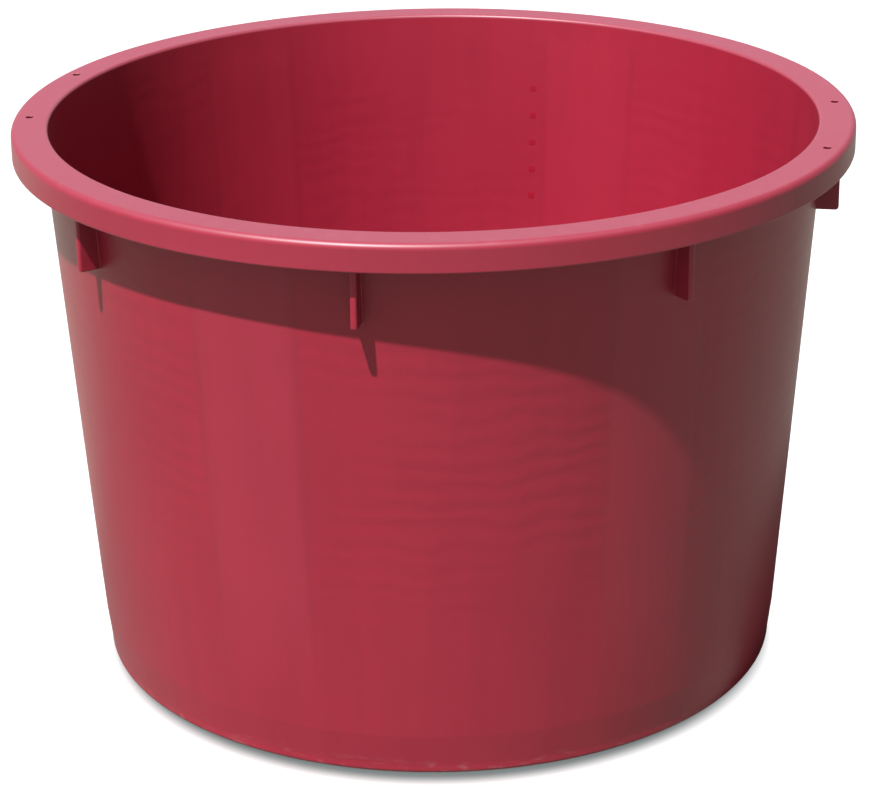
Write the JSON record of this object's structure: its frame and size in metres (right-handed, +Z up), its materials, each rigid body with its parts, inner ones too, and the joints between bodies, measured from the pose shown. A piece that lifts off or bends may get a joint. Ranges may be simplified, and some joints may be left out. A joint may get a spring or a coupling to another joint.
{
  "type": "mortar mixing tub",
  "caption": "Round tapered plastic tub with a turned-down rim, stacking ribs under the rim and litre marks inside, for mixing mortar or plaster.",
  "frame": {"origin": "centre of the underside, on the ground the tub stands on", "axes": "+Z up along the tub's axis; the ribs stand on X and Y and on the diagonals, the pairs of rim holes lie either side of +X and -X, and the litre marks are on the inner wall near +Y"},
  "size_m": [0.6, 0.6, 0.4],
  "materials": {
    "red_plastic": "satin, as moulded"
  },
  "bodies": {
    "root": {"tub_floor": "red_plastic", "side_wall": "red_plastic", "rim_flange": "red_plastic", "rim_skirt": "red_plastic", "stacking_rib_1": "red_plastic", "stacking_rib_2": "red_plastic", "stacking_rib_3": "red_plastic", "stacking_rib_4": "red_plastic", "stacking_rib_5": "red_plastic", "stacking_rib_6": "red_plastic", "stacking_rib_7": "red_plastic", "stacking_rib_8": "red_plastic", "litre_mark_1": "red_plastic", "litre_mark_2": "red_plastic", "litre_mark_3": "red_plastic", "litre_mark_4": "red_plastic", "litre_mark_5": "red_plastic"}
  },
  "joints": []
}
